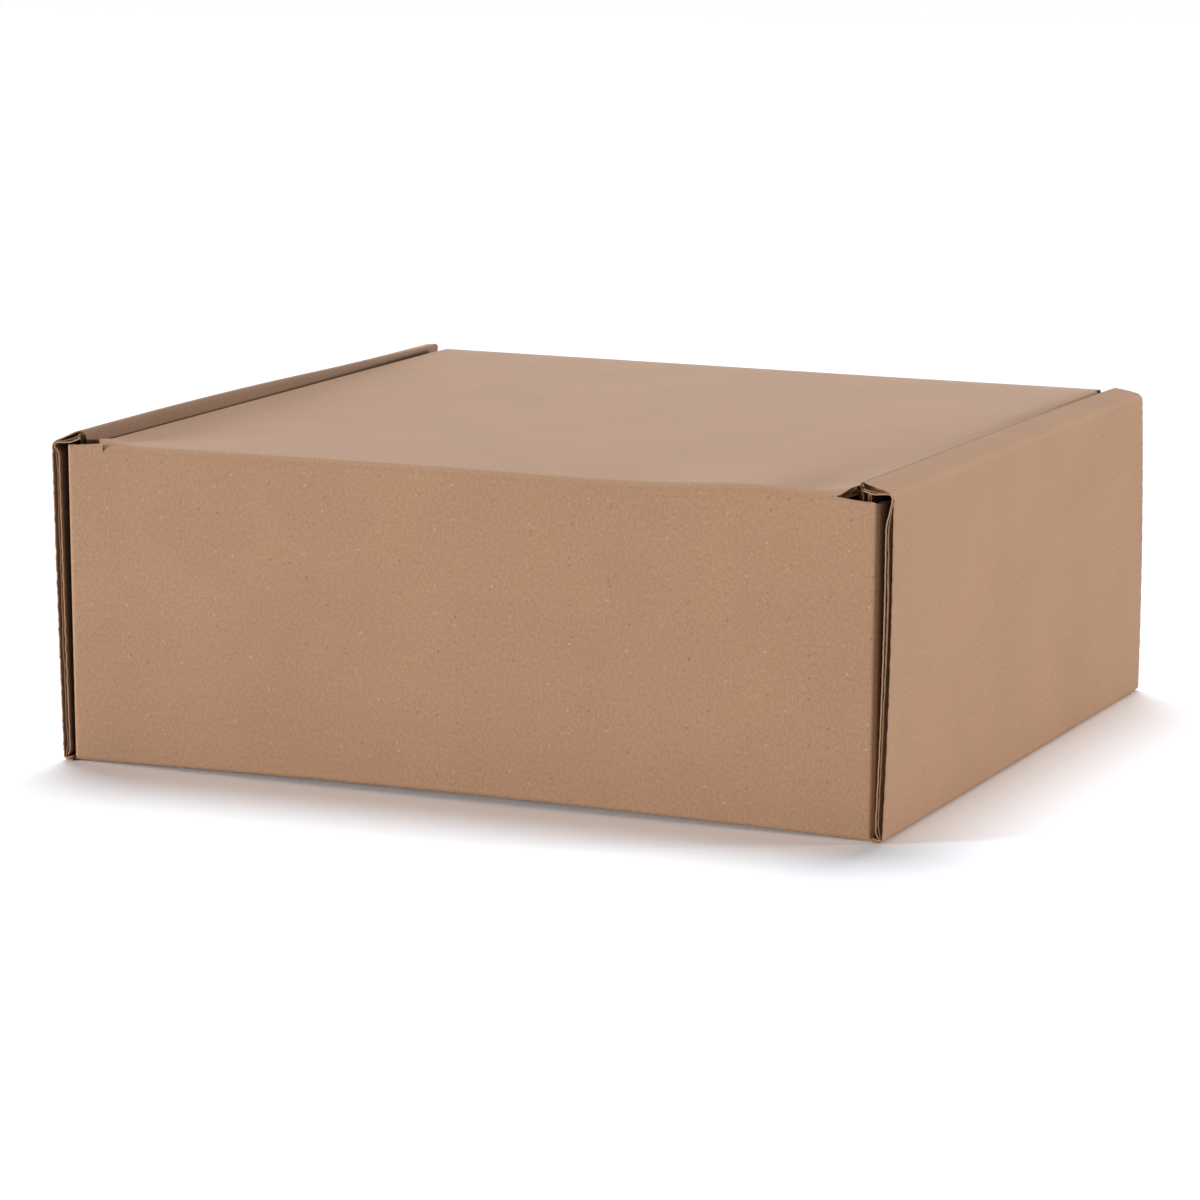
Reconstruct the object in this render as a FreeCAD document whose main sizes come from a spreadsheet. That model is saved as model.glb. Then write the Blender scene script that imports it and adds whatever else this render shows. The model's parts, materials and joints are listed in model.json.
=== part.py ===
# A closed roll-end mailer folded from one sheet of corrugated board. The tray is the base with its walls,
# corner tabs and rolled side walls. The lid is the top panel with its dust flaps and tuck flap.
# Millimetres. X runs along the hinge wall, Y from the hinge wall to the far wall, Z up from the floor.
# The origin is the middle of the footprint, on the floor.
import FreeCAD, Part
import math
import os
import Sketcher

# Driving dimensions
SIZES = [
    ("board", 3.0, "thickness of the corrugated board"),
    ("face_width", 298.0, "hinge wall over its rounded end folds"),
    ("side_length", 286.0, "side wall, from one cut edge to the other"),
    ("wall_height", 112.0, "top of the lid's crease above the floor"),
    ("edge_proud", 0.9, "side wall's cut edge stands proud of the long wall"),
    ("fold_radius", 1.5, "outside of the base's folds"),
    ("end_radius", 2.9, "outside of the folds into the corner tabs"),
    ("crease_radius", 2.2, "outside of the rolled strip's and the lid's folds"),
    ("tab_length", 70.0, "corner tab, from the long wall's inner face"),
    ("tab_lift", 1.0, "corner tab's lower edge above the base"),
    ("tab_clearance", 0.7, "corner tab to the outer side wall at its foot"),
    ("inner_clearance", 0.3, "corner tab to the inner side wall"),
    ("splay", 2.4, "outer side wall leans out by this at its top"),
    ("crease_rise", 0.4, "roll's outer crease above the lid's crease"),
    ("roll_rise", 3.9, "roll's inner crest above its outer crease"),
    ("far_rise_left", 7.0, "left roll's far end stands higher by this"),
    ("far_rise_right", 3.8, "right roll's far end stands higher by this"),
    ("foot_overlap", 4.0, "side wall's foot runs in under the base"),
    ("foot_clearance", 0.3, "inner wall's lower edge above the base"),
    ("end_clearance", 0.4, "inner wall's cut edge to the long wall"),
    ("far_wall_drop", 1.5, "far wall's cut edge below the lid's crease"),
    ("lock_width", 40.0, "lock tab of the inner wall"),
    ("lock_pitch", 150.0, "middle of one lock tab to the middle of the next"),
    ("lock_clearance", 0.3, "lock tab to its slot in the base"),
    ("fold_inset", 14.0, "lid's crease ends this far in from the hinge wall's end"),
    ("hinge_clearance", 0.2, "lid's edge to the rounded crease"),
    ("lid_clearance", 0.4, "lid's edge to the inner side wall"),
    ("tuck_clearance", 2.9, "tuck flap to the far wall, at the lid's fold"),
    ("lid_corner_cut", 8.0, "lid's near corner is cut back by this"),
    ("tuck_inset", 3.0, "tuck flap is narrower than the lid by this at each end"),
    ("tuck_length", 60.0, "tuck flap below the lid"),
    ("swing_clearance", 0.5, "tuck flap's free edge to the far wall as the lid swings"),
    ("tuck_taper", 15.0, "corner cut off the tuck flap"),
    ("flap_depth", 40.0, "dust flap below the lid"),
    ("flap_setback", 40.0, "dust flap ends this far before the lid's far fold"),
    ("flap_taper", 8.0, "dust flap's free edge is shorter by this at each end"),
]

# Positions that several pieces share, as formulas on the driving dimensions
HALF = "<<sizes>>.face_width / 2"
WALL_OUT = "(<<sizes>>.side_length / 2 - <<sizes>>.edge_proud)"
WALL_IN = f"({WALL_OUT} - <<sizes>>.board)"
HINGE_Y = f"({WALL_OUT} - <<sizes>>.board / 2)"
HINGE_Z = "(<<sizes>>.wall_height - <<sizes>>.board / 2)"
LID_NEAR = f"({HINGE_Y} - <<sizes>>.board / 2 - <<sizes>>.hinge_clearance)"
LID_FAR = f"({WALL_IN} - <<sizes>>.tuck_clearance)"
LID_RISE = "((<<sizes>>.far_rise_left + <<sizes>>.far_rise_right) / 2)"
INNER_OUT = f"({HALF} - <<sizes>>.board - <<sizes>>.inner_clearance)"
INNER_IN = f"({INNER_OUT} - <<sizes>>.board)"
OUTER_IN = f"({HALF} + <<sizes>>.tab_clearance)"
OUTER_OUT = f"({OUTER_IN} + <<sizes>>.board)"
LID_HALF = f"({INNER_IN} - <<sizes>>.lid_clearance)"
CREASE_Z = "(<<sizes>>.wall_height + <<sizes>>.crease_rise)"
CREST_Z = f"({CREASE_Z} + <<sizes>>.roll_rise)"
TUCK_TIP_Z = f"(<<sizes>>.wall_height + {LID_RISE} - <<sizes>>.tuck_length)"
SWING = f"({WALL_IN} + {HINGE_Y} - <<sizes>>.swing_clearance)"

doc = FreeCAD.newDocument("mailer")
sheet = doc.addObject("Spreadsheet::Sheet", "sizes")
sheet.Label = "sizes"
for row, (alias, value, note) in enumerate(SIZES, start=1):
    sheet.set(f"A{row}", note)
    sheet.set(f"B{row}", str(value))
    sheet.setAlias(f"B{row}", alias)
doc.recompute()


def size(alias):
    """The value of one driving dimension."""
    return float(sheet.get(alias))


def near(value, target):
    """True where two lengths agree to well under the board's thickness."""
    return abs(value - target) < size("board") / 10


def new_body(label):
    """An empty body with its node name as label."""
    body = doc.addObject("PartDesign::Body", label)
    body.Label = label
    return body


def new_sketch(body, name, plane, shift="0"):
    """A sketch on one of the body's own origin planes, moved along the plane's normal by a formula."""
    sketch = body.newObject("Sketcher::SketchObject", name)
    planes = [feature for feature in body.Origin.OriginFeatures if feature.Role == plane]
    sketch.AttachmentSupport = [(planes[0], "")]
    sketch.MapMode = "FlatFace"
    sketch.setExpression("AttachmentOffset.Base.z", shift)
    return sketch


def place_point(sketch, geometry, end, across, along):
    """Two constraints that hold one point of a sketch at its formulas."""
    for kind, formula in (("DistanceX", across), ("DistanceY", along)):
        number = sketch.addConstraint(Sketcher.Constraint(kind, -1, 1, geometry, end, size("board")))
        sketch.setExpression(f"Constraints[{number}]", formula)


def draw_outline(sketch, corners):
    """A closed outline whose corners are formulas. It starts on a circle, and its constraints place it."""
    first = sketch.GeometryCount
    start_radius = 100.0
    angles = [2 * math.pi * index / len(corners) for index in range(len(corners))]
    points = [FreeCAD.Vector(start_radius * math.cos(a), start_radius * math.sin(a), 0) for a in angles]
    for index, point in enumerate(points):
        sketch.addGeometry(Part.LineSegment(point, points[(index + 1) % len(points)]), False)
    for index in range(len(corners)):
        following = first + (index + 1) % len(corners)
        sketch.addConstraint(Sketcher.Constraint("Coincident", first + index, 2, following, 1))
    for index, (across, along) in enumerate(corners):
        place_point(sketch, first + index, 1, across, along)


def pad(body, sketch, name, length, side="One side", reverse=False):
    """A sketch drawn out along its normal by a formula."""
    feature = body.newObject("PartDesign::Pad", name)
    feature.Profile = sketch
    feature.SideType = side
    feature.Reversed = reverse
    feature.setExpression("Length", length)
    doc.recompute()
    return feature


def pocket(body, sketch, name):
    """A sketch cut right through the body, both ways, with the volume compared."""
    before = body.Shape.Volume
    feature = body.newObject("PartDesign::Pocket", name)
    feature.Profile = sketch
    feature.Type = "ThroughAll"
    feature.SideType = "Symmetric"
    doc.recompute()
    if not feature.Shape.Volume < before:
        raise RuntimeError(f"{name} cuts nothing")
    return feature


def round_edges(body, name, radius, wanted):
    """A fillet on the edges whose middle point and direction the test accepts."""
    feature = body.Tip
    names = []
    for number, edge in enumerate(feature.Shape.Edges, start=1):
        span = edge.Vertexes[-1].Point - edge.Vertexes[0].Point
        if span.Length > 0 and wanted(edge.CenterOfMass, span / span.Length):
            names.append(f"Edge{number}")
    if not names:
        raise RuntimeError(f"{name} finds no edge")
    fillet = body.newObject("PartDesign::Fillet", name)
    fillet.Base = (feature, names)
    fillet.setExpression("Radius", radius)
    doc.recompute()
    if fillet.Shape.isNull() or not fillet.Shape.isValid():
        raise RuntimeError(f"{name} can't be rounded")
    return fillet


def side_wall(body, name, sign, rise):
    """One outer side wall with its foot, rolled strip and inner wall, from a section at each end."""
    lengths = {"roll": "<<sizes>>.side_length / 2", "inner": f"{WALL_IN} - <<sizes>>.end_clearance"}
    for part, half_length in lengths.items():
        sections = []
        for end, along in (("near", f"({half_length})"), ("far", f"-({half_length})")):
            share = f"(0.5 - ({along}) / <<sizes>>.side_length)"
            lift = f"({share} * <<sizes>>.{rise})"
            sketch = new_sketch(body, f"{name}_{part}_{end}", "XZ_Plane", along)
            outline = roll_outline(lift) if part == "roll" else inner_outline(lift)
            draw_outline(sketch, [(f"{sign} * ({across})", up) for across, up in outline])
            sections.append(sketch)
        loft = body.newObject("PartDesign::AdditiveLoft", f"{name}_{part}")
        loft.Profile = sections[0]
        loft.Sections = [sections[1]]
        loft.Ruled = True
        doc.recompute()


def roll_outline(lift):
    """Corners of the foot, the outer wall and the rolled strip, going up the outside and back down inside."""
    top_width = f"({OUTER_OUT} + <<sizes>>.splay - {INNER_IN})"
    slope = f"(<<sizes>>.roll_rise / {top_width})"
    strip_depth = f"(<<sizes>>.board * sqrt(1 + {slope}^2))"
    lip_depth = "(2 * <<sizes>>.board)"
    return [
        (f"{HALF} - <<sizes>>.foot_overlap", "0"),
        (OUTER_OUT, "0"),
        (f"{OUTER_OUT} + <<sizes>>.splay", f"{CREASE_Z} + {lift}"),
        (INNER_IN, f"{CREST_Z} + {lift}"),
        (INNER_IN, f"{CREST_Z} + {lift} - {lip_depth}"),
        (INNER_OUT, f"{CREST_Z} + {lift} - {lip_depth}"),
        (INNER_OUT, f"{CREST_Z} + {lift} - <<sizes>>.board * {slope} - {strip_depth}"),
        (f"{OUTER_IN} + <<sizes>>.splay", f"{CREASE_Z} + {lift} + <<sizes>>.board * {slope} - {strip_depth}"),
        (OUTER_IN, "<<sizes>>.board"),
        (f"{HALF} - <<sizes>>.foot_overlap", "<<sizes>>.board"),
    ]


def inner_outline(lift):
    """Corners of the inner wall, which ends inside the rolled strip's lip."""
    bottom = "<<sizes>>.board + <<sizes>>.foot_clearance"
    top = f"{CREST_Z} + {lift} - 1.5 * <<sizes>>.board"
    return [(INNER_IN, bottom), (INNER_OUT, bottom), (INNER_OUT, top), (INNER_IN, top)]


def rectangle(low_x, high_x, low_y, high_y):
    """Corners of an upright rectangle."""
    return [(low_x, low_y), (high_x, low_y), (high_x, high_y), (low_x, high_y)]


def build_tray():
    """The base and its walls, all in one sheet."""
    body = new_body("tray")
    board = "<<sizes>>.board"
    far_top = "<<sizes>>.wall_height - <<sizes>>.far_wall_drop"
    walls = new_sketch(body, "base_and_long_walls_outline", "YZ_Plane")
    draw_outline(walls, [
        (f"-{WALL_OUT}", "0"), (WALL_OUT, "0"), (WALL_OUT, far_top), (WALL_IN, far_top),
        (WALL_IN, board), (f"-{WALL_IN}", board), (f"-{WALL_IN}", HINGE_Z), (f"-{WALL_OUT}", HINGE_Z)])
    pad(body, walls, "base_and_long_walls", "<<sizes>>.face_width", "Symmetric")
    wall_y = size("side_length") / 2 - size("edge_proud")
    half = size("face_width") / 2
    round_edges(body, "base_folds", "<<sizes>>.fold_radius",
                lambda p, d: near(abs(d.x), 1) and near(abs(p.y), wall_y) and near(p.z, 0))
    round_edges(body, "end_folds", "<<sizes>>.end_radius",
                lambda p, d: near(abs(d.z), 1) and near(abs(p.y), wall_y) and near(abs(p.x), half))
    for end, sign in (("near", "-1"), ("far", "1")):
        tabs = new_sketch(body, f"{end}_tab_outlines", "XY_Plane", f"{board} + <<sizes>>.tab_lift")
        root = f"{sign} * {WALL_IN}"
        tip = f"{sign} * ({WALL_IN} - <<sizes>>.tab_length)"
        draw_outline(tabs, rectangle(f"{HALF} - {board}", HALF, root, tip))
        draw_outline(tabs, rectangle(f"{board} - {HALF}", f"-{HALF}", root, tip))
        top = HINGE_Z if end == "near" else f"({far_top})"
        pad(body, tabs, f"{end}_corner_tabs", f"{top} - {board} - <<sizes>>.tab_lift")
    side_wall(body, "right_wall", "1", "far_rise_right")
    side_wall(body, "left_wall", "-1", "far_rise_left")
    round_roll_folds(body)
    nose = new_sketch(body, "crease_circle", "YZ_Plane")
    nose.addGeometry(Part.Circle(FreeCAD.Vector(0, 0, 0), FreeCAD.Vector(0, 0, 1), size("board") / 2), False)
    place_point(nose, 0, 3, f"-{HINGE_Y}", HINGE_Z)
    number = nose.addConstraint(Sketcher.Constraint("Radius", 0, size("board") / 2))
    nose.setExpression(f"Constraints[{number}]", f"{board} / 2")
    pad(body, nose, "crease", "<<sizes>>.face_width - 2 * <<sizes>>.fold_inset", "Symmetric")
    lock_tabs(body)
    return body


def round_roll_folds(body):
    """Rounded folds along both creases of the rolled strips and along the side walls' feet."""
    middle = size("side_length") / 4
    outer = size("face_width") / 2 + size("tab_clearance") + size("board")
    inner = size("face_width") / 2 - 2 * size("board") - size("inner_clearance")
    crease_z = size("wall_height") + size("crease_rise")
    crest_z = crease_z + size("roll_rise")
    round_edges(body, "outer_creases", "<<sizes>>.crease_radius",
                lambda p, d: abs(p.y) < middle and near(abs(p.x), outer + size("splay")) and p.z > crease_z)
    round_edges(body, "inner_crests", "<<sizes>>.crease_radius",
                lambda p, d: abs(p.y) < middle and near(abs(p.x), inner) and p.z > crest_z)
    round_edges(body, "feet", "<<sizes>>.fold_radius",
                lambda p, d: abs(p.y) < middle and near(abs(p.x), outer) and near(p.z, 0))


def lock_tabs(body):
    """Slots in the base, and in each a tab that hangs from the inner wall's lower edge."""
    slots = new_sketch(body, "lock_slot_outlines", "XY_Plane")
    tabs = new_sketch(body, "lock_tab_outlines", "XY_Plane", "<<sizes>>.foot_clearance")
    gap = "<<sizes>>.lock_clearance"
    for side in ("1", "-1"):
        for end in ("1", "-1"):
            middle = f"{end} * <<sizes>>.lock_pitch / 2"
            low = f"{middle} - <<sizes>>.lock_width / 2"
            high = f"{middle} + <<sizes>>.lock_width / 2"
            inner, outer = f"{side} * {INNER_IN}", f"{side} * {INNER_OUT}"
            draw_outline(tabs, rectangle(inner, outer, low, high))
            draw_outline(slots, rectangle(f"{inner} - {side} * {gap}", f"{outer} + {side} * {gap}",
                                          f"{low} - {gap}", f"{high} + {gap}"))
    cut = body.newObject("PartDesign::Pocket", "lock_slots")
    cut.Profile = slots
    cut.Reversed = True
    cut.setExpression("Length", "<<sizes>>.board")
    before = body.Shape.Volume
    doc.recompute()
    if not cut.Shape.Volume < before:
        raise RuntimeError("lock_slots cuts nothing")
    pad(body, tabs, "lock_tabs", "2 * <<sizes>>.board")


def build_lid():
    """The top panel with a tuck flap at its far edge and a dust flap at each side."""
    body = new_body("lid")
    board = "<<sizes>>.board"
    panel = new_sketch(body, "lid_panel_outline", "YZ_Plane")
    draw_outline(panel, [(f"-{LID_NEAR}", f"<<sizes>>.wall_height - {board}"),
                         (f"{LID_FAR} - {board}", f"{lid_top(f'{LID_FAR} - {board}')} - {board}"),
                         (f"{LID_FAR} - {board}", lid_top(f"{LID_FAR} - {board}")),
                         (f"-{LID_NEAR}", "<<sizes>>.wall_height")])
    pad(body, panel, "lid_panel", f"2 * {LID_HALF}", "Symmetric")
    for side, sign in (("right", "1"), ("left", "-1")):
        outline = new_sketch(body, f"{side}_dust_flap_outline", "YZ_Plane", f"{sign} * {LID_HALF}")
        draw_outline(outline, flap_outline())
        pad(body, outline, f"{side}_dust_flap", board, reverse=(sign == "1"))
    corners = new_sketch(body, "near_corner_cuts", "XY_Plane")
    for sign in ("1", "-1"):
        beyond = f"{sign} * {HALF}"
        front = f"-{WALL_OUT}"
        draw_outline(corners, [(f"{sign} * ({HALF} - <<sizes>>.fold_inset)", front), (beyond, front),
                               (beyond, f"<<sizes>>.lid_corner_cut - {WALL_OUT}"),
                               (f"{sign} * {LID_HALF}", f"<<sizes>>.lid_corner_cut - {WALL_OUT}")])
    pocket(body, corners, "near_corners")
    middle = size("side_length") / 4
    lid_half = max(vertex.Point.x for vertex in body.Shape.Vertexes)
    round_edges(body, "dust_folds", "<<sizes>>.crease_radius",
                lambda p, d: near(abs(p.x), lid_half) and p.z > size("wall_height") and abs(p.y) < middle)
    tuck = new_sketch(body, "tuck_flap_outline", "YZ_Plane")
    draw_outline(tuck, tuck_outline())
    pad(body, tuck, "tuck_flap", f"2 * ({LID_HALF} - <<sizes>>.tuck_inset)", "Symmetric")
    far_y = size("side_length") / 2 - size("edge_proud") - size("board") - size("tuck_clearance")
    far_z = size("wall_height") + (size("far_rise_left") + size("far_rise_right")) / 2
    tuck_half = lid_half - size("tuck_inset")
    round_edges(body, "tuck_corners", "<<sizes>>.tuck_taper",
                lambda p, d: near(abs(p.x), tuck_half) and near(p.z, far_z - size("tuck_length")))
    round_edges(body, "tuck_fold", "<<sizes>>.crease_radius",
                lambda p, d: near(abs(d.x), 1) and near(p.y, far_y) and near(p.z, far_z))
    return body


def lid_top(along):
    """Height of the lid's upper face at a place along Y, as a formula."""
    return f"(<<sizes>>.wall_height + {LID_RISE} * ({along} + {LID_NEAR}) / ({LID_FAR} + {LID_NEAR}))"


def tuck_outline():
    """Corners of the lid's far fold and of the flap that goes down from it, inside the far wall."""
    board = "<<sizes>>.board"
    root = f"({LID_FAR} - 2 * {board})"
    tip_y = f"(sqrt({SWING}^2 - ({HINGE_Z} - {TUCK_TIP_Z})^2) - {HINGE_Y})"
    return [(root, f"{lid_top(root)} - {board}"), (f"{LID_FAR} - {board}", f"{lid_top(LID_FAR)} - {board}"),
            (f"{tip_y} - {board}", TUCK_TIP_Z), (tip_y, TUCK_TIP_Z), (LID_FAR, lid_top(LID_FAR)),
            (root, lid_top(root))]


def flap_outline():
    """Corners of a dust flap. Its top edge follows the lid's upper face."""
    front = f"(<<sizes>>.lid_corner_cut - {WALL_OUT})"
    back = f"({LID_FAR} - <<sizes>>.flap_setback)"
    depth, taper = "<<sizes>>.flap_depth", "<<sizes>>.flap_taper"
    return [(front, lid_top(front)), (f"{front} + {taper}", f"{lid_top(front)} - {depth}"),
            (f"{back} - {taper}", f"{lid_top(back)} - {depth}"), (back, lid_top(back))]


bodies = [build_tray(), build_lid()]
doc.recompute()
for item in doc.Objects:
    if "Invalid" in item.State or "Error" in item.State:
        raise RuntimeError(f"{item.Name} failed: {item.State}")
for body in bodies:
    shape = body.Shape
    if shape.isNull() or not shape.isValid() or len(shape.Solids) != 1:
        raise RuntimeError(f"{body.Label} isn't one valid solid")
os.makedirs("parts", exist_ok=True)
for body in bodies:
    body.Shape.exportStep(f"parts/{body.Label}.step")
    box = body.Shape.optimalBoundingBox(True, False)
    print(body.Label, "volume", round(body.Shape.Volume), "x", round(box.XMin, 2), round(box.XMax, 2),
          "y", round(box.YMin, 2), round(box.YMax, 2), "z", round(box.ZMin, 2), round(box.ZMax, 2))
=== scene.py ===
# %% [markdown]
# A closed mailer of kraft corrugated board
#
# The real box is one die-cut sheet of corrugated board, folded up with no glue. A long strip of the sheet
# runs from the tuck flap over the lid, down the wall at the front, under the base and up the far wall. Two
# side strips run from the base up the outer side walls, over a rolled top and down again inside. Boxes with
# bevels would give the outline, but their cut edges would show no paper. So each strip is a section carried
# sideways, worked out with numpy, and cut to the outline of the blank.

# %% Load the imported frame
import json
import math
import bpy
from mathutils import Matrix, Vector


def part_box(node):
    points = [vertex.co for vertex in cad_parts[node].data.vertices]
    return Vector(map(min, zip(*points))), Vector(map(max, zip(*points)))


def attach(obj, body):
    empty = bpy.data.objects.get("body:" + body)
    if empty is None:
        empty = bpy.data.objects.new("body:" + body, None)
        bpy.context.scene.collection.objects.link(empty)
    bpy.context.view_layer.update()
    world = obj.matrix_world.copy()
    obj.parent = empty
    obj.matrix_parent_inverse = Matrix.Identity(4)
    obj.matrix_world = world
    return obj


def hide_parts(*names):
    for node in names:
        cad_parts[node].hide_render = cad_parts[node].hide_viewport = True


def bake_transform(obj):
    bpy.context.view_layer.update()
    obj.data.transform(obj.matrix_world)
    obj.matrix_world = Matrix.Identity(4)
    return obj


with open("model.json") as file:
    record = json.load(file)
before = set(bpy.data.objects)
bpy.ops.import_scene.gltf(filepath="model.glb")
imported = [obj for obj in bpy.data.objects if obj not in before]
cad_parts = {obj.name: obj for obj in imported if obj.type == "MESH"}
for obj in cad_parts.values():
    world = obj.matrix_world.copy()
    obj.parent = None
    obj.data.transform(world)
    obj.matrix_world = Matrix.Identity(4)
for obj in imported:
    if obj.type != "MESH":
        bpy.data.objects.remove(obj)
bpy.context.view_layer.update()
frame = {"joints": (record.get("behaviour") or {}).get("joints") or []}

from types import SimpleNamespace

import bpy
import numpy as np
from mathutils import Matrix

hinge = frame["joints"][0]

# %% [markdown]
# Sizes
#
# The frame gives the outer sizes, and the board gives the rest. Lengths are millimetres up to the moment a
# mesh is made, because a box maker thinks in millimetres, and one factor turns them into the scene's metres.

# %% Sizes in millimetres
MM = 0.001


def node_box(node):
    """Lowest and highest corner of a CAD node, in millimetres."""
    return [np.array(corner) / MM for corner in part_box(node)]


BOARD = 3.0
LINER = 0.42            # drawn about twice as thick as paper, so that a cut edge shows two clear lines
MEDIUM = 0.32           # the fluted paper, drawn thicker for the same reason
FLUTE = 6.4             # one wave of the fluted paper
EDGE_PROUD = 0.9        # the side walls' cut edges stand proud of the long walls
SIDE_HALF = node_box("tray")[1][1]
LID_HALF = node_box("lid")[1][0]
WALL_OUT = SIDE_HALF - EDGE_PROUD
FACE_HALF = 149.0       # half of the front wall's width
HINGE_Z = hinge["pos_m"][2] / MM
LID_TOP = HINGE_Z + BOARD / 2
RIM_Z = HINGE_Z         # the long walls' top edges
CREASE_HALF = 135.0     # half of the crease that joins the lid to the front wall
print("side half", SIDE_HALF, "lid half", LID_HALF, "lid top", LID_TOP)

# %% [markdown]
# Curves that settle gently
#
# Paper has no sudden steps, so every change of shape or shade here goes along one of three curves: an eased
# step, a bell, or a line that wanders a little. The last one makes cut edges and flutes less than perfect.

# %% Curves


def smooth_share(value, low, high):
    """Share of the way between two values, eased at both ends: three shares squared less two shares cubed."""
    share = np.clip((value - low) / (high - low), 0, 1)
    return share * share * (3 - 2 * share)


def bell(value, middle, reach):
    """One at the middle, falling to almost none at twice the reach: e to the minus square of the distance."""
    return np.exp(-((value - middle) / reach) ** 2)


def wander(place, period, seed):
    """Smooth random line between about -1 and 1: four sine waves near one period, with random phases."""
    random = np.random.default_rng(seed)
    total = 0
    for _ in range(4):
        total = total + np.sin(2 * np.pi * (place / (period * random.uniform(0.6, 1.7)) + random.uniform()))
    return total / 2.4


print("a quarter of the way, eased", smooth_share(0.25, 0, 1))
print("bell at its reach", round(float(bell(1, 0, 1)), 3))

# %% [markdown]
# A section through folded board
#
# A crease in real board is a soft bend where the flutes are crushed flat. A bevel would keep the board's
# thickness, so the section is worked out instead: a path that holds its heading on each run and turns it
# evenly on each bend, and a second curve along it that says how thick the board still is.

# %% Section
WEAR_REACH = 1.6        # the paper is rubbed this far on each side of a fold


class Section:
    """A line through folded board, followed along the outer face, with the inner face to its left.

    Each fold is (radius, reach before, reach after, crushed thickness). The heading holds on straight runs
    and turns evenly on arcs, and the place is the running sum of its cosine and sine. The thickness drops to
    the crushed one at the middle of each fold and comes back over the reach on each side.
    """

    def __init__(self, corners, folds):
        corners = np.array(corners, float)
        legs = np.diff(corners, axis=0)
        headings = np.unwrap(np.arctan2(legs[:, 1], legs[:, 0]))
        turns = np.abs(np.diff(headings))
        radii = np.array([fold[0] for fold in folds])
        cuts = radii * np.tan(turns / 2)
        runs = np.hypot(legs[:, 0], legs[:, 1]) - np.append(cuts, 0) - np.append(0, cuts)
        pieces = np.zeros(2 * len(runs) - 1)
        pieces[0::2] = runs
        pieces[1::2] = radii * turns
        self.knots = np.append(0, np.cumsum(pieces))
        self.length = self.knots[-1]
        self.middles = (self.knots[1:-1:2] + self.knots[2:-1:2]) / 2
        self.folds = folds
        self.table = np.linspace(0, self.length, int(self.length / 0.02))
        self.heading = np.interp(self.table, self.knots, np.repeat(headings, 2))
        step = self.table[1]
        halfway = (self.heading[1:] + self.heading[:-1]) / 2
        self.across = corners[0, 0] + np.append(0, np.cumsum(np.cos(halfway)) * step)
        self.up = corners[0, 1] + np.append(0, np.cumsum(np.sin(halfway)) * step)

    def at(self, run):
        """Place and inward normal at a distance along, as (across, up, normal across, normal up)."""
        heading = np.interp(run, self.table, self.heading)
        across = np.interp(run, self.table, self.across)
        up = np.interp(run, self.table, self.up)
        return across, up, -np.sin(heading), np.cos(heading)

    def thickness(self, run):
        """Board thickness at a distance along: full, less what each fold crushes."""
        result = np.full(np.shape(run), BOARD)
        for middle, (radius, before, after, crushed) in zip(self.middles, self.folds):
            reach = np.where(run < middle, before, after)
            share = smooth_share(np.abs(run - middle), 0, reach)
            result = np.minimum(result, crushed + (BOARD - crushed) * share)
        return result

    def wear(self, run):
        """Share of wear at a distance along: one at a fold, falling to none a short way off."""
        return bell(np.min([np.abs(run - middle) for middle in self.middles], axis=0), 0, WEAR_REACH)


trial = Section([(0, 0), (10, 0), (10, 10)], [(2.0, 3, 3, 1.2)])
print("trial fold", round(trial.length, 2), "mm long,", float(trial.thickness(trial.middles[0])), "mm thick")

# %% [markdown]
# From grids to closed sheets
#
# A sheet of paper is a very thin solid. Two grids of points make its faces, and quads round the edge of what
# is kept of the grid close it. Cutting cells out of the grid is how the die cuts the blank, and it needs no
# boolean, so it stays quick and leaves no stray faces.

# %% Grid lines and closed sheets


def spread(stops, spacing):
    """Grid lines through every stop, with even steps no wider than the spacing between them."""
    stops = np.array(stops, float)
    spans = [np.linspace(low, high, max(1, math.ceil((high - low) / spacing - 1e-9)), endpoint=False)
             for low, high in zip(stops, stops[1:])]
    return np.append(np.concatenate(spans), stops[-1])


def merged(*lines):
    """Several sets of grid lines as one, sorted, with doubles merged."""
    return np.unique(np.concatenate(lines).round(4))


def mirrored(lines):
    """Grid lines on one side, and the same on the other side."""
    return np.unique(np.concatenate([-np.array(lines), lines]))


def close_sheet(front, back, keep):
    """Quads of a closed solid between two grids of points, for the cells that are kept.

    The front's quads, the back's quads turned round, and a quad on each grid edge that has a kept cell on
    one side only. The signed volume says whether they point outwards.
    """
    rows, columns = front.shape[:2]
    index = np.arange(rows * columns).reshape(rows, columns)
    a, b, c, d = index[:-1, :-1], index[1:, :-1], index[1:, 1:], index[:-1, 1:]
    far = rows * columns
    ring = np.pad(keep, 1)
    sides = [(d, a, ring[:-2, 1:-1]), (b, c, ring[2:, 1:-1]), (a, b, ring[1:-1, :-2]), (c, d, ring[1:-1, 2:])]
    quads = [np.stack([a, b, c, d], -1)[keep], np.stack([d, c, b, a], -1)[keep] + far]
    for start, end, beside in sides:
        edge = keep & ~beside
        quads.append(np.stack([end[edge], start[edge], start[edge] + far, end[edge] + far], -1))
    quads = np.concatenate(quads)
    points = np.concatenate([front.reshape(-1, 3), back.reshape(-1, 3)])
    used, quads = np.unique(quads, return_inverse=True)
    quads = quads.reshape(-1, 4)
    points = points[used]
    corners = points[quads]
    volume = np.einsum("ij,ij->", corners[:, 0], np.cross(corners[:, 1], corners[:, 2]))
    volume += np.einsum("ij,ij->", corners[:, 0], np.cross(corners[:, 2], corners[:, 3]))
    if volume < 0:
        quads = quads[:, ::-1]
    return points, quads, used % far


print("lines through 0, 4 and 10, at most 3 apart", spread([0, 4, 10], 3))

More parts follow.
